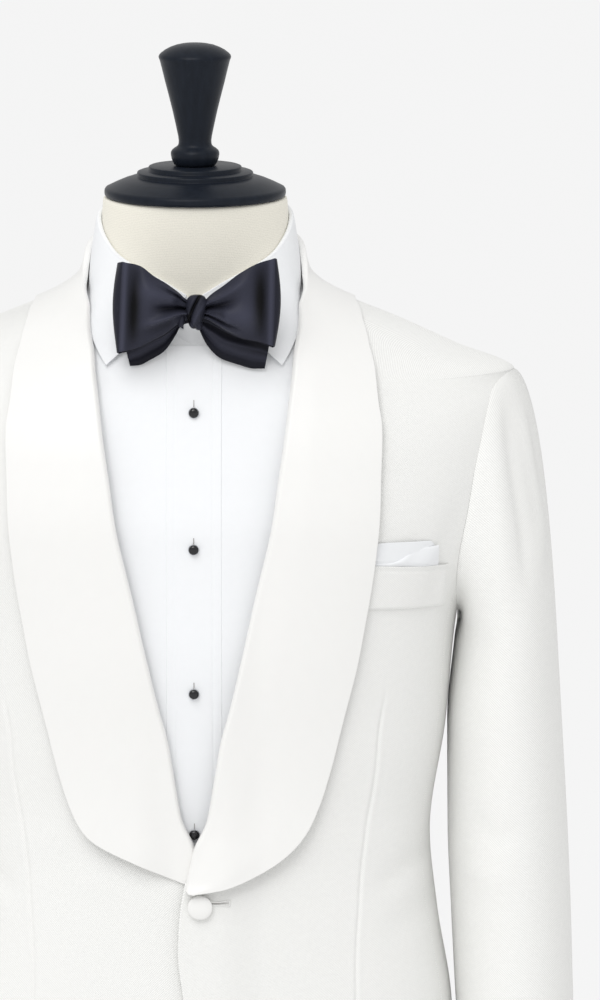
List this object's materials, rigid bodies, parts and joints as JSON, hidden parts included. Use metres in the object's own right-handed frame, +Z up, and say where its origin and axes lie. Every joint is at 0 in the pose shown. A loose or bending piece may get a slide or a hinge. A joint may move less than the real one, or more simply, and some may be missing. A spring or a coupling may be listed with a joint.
{
  "type": "tuxedo on a dress form",
  "caption": "White shawl-collar dinner jacket with pleat-free dress shirt, black satin bow tie and pocket square, worn by a linen dress form on a low black stand",
  "frame": {"origin": "centre of the underside of the stand's round base, on the surface that it stands on", "axes": "+Z up the pole to the finial; -Y is the front, where the jacket fastens; +X is the wearer's left, the side of the breast pocket"},
  "size_m": [0.553, 0.38, 1.1872],
  "materials": {
    "jacket_twill": "off-white wool-blend twill, matte, fine diagonal rib",
    "lapel_satin": "warm white satin facing, soft sheen",
    "shirt_poplin": "cool white cotton poplin, matte",
    "bow_satin": "black silk satin, soft sheen",
    "form_linen": "cream plain-weave linen cover, matte",
    "black_lacquer": "black-stained turned wood, semi-matte",
    "stud_dark": "polished dark stud face"
  },
  "bodies": {
    "root": {"jacket_front_left": "jacket_twill", "jacket_front_right": "jacket_twill", "jacket_side_left": "jacket_twill", "jacket_side_right": "jacket_twill", "jacket_back_left": "jacket_twill", "jacket_back_right": "jacket_twill", "jacket_top_sleeve_left": "jacket_twill", "jacket_top_sleeve_right": "jacket_twill", "jacket_under_sleeve_left": "jacket_twill", "jacket_under_sleeve_right": "jacket_twill", "jacket_collar_stand": "jacket_twill", "jacket_breast_welt": "jacket_twill", "jacket_shawl_left": "lapel_satin", "jacket_shawl_right": "lapel_satin", "jacket_button": "lapel_satin", "pocket_square": "shirt_poplin", "shirt_front_left": "shirt_poplin", "shirt_front_right": "shirt_poplin", "shirt_back_left": "shirt_poplin", "shirt_back_right": "shirt_poplin", "shirt_placket": "shirt_poplin", "shirt_collar_band": "shirt_poplin", "shirt_collar_leaf": "shirt_poplin", "shirt_stud_1": "stud_dark", "shirt_stud_2": "stud_dark", "shirt_stud_3": "stud_dark", "shirt_stud_4": "stud_dark", "bow_knot": "bow_satin", "bow_wing_left": "bow_satin", "bow_wing_right": "bow_satin", "bow_end_left": "bow_satin", "bow_end_right": "bow_satin", "bow_neck_strip": "bow_satin", "form_torso": "form_linen", "form_neck_cap": "black_lacquer", "form_finial": "black_lacquer", "stand_pole": "black_lacquer", "stand_base": "black_lacquer"}
  },
  "joints": []
}
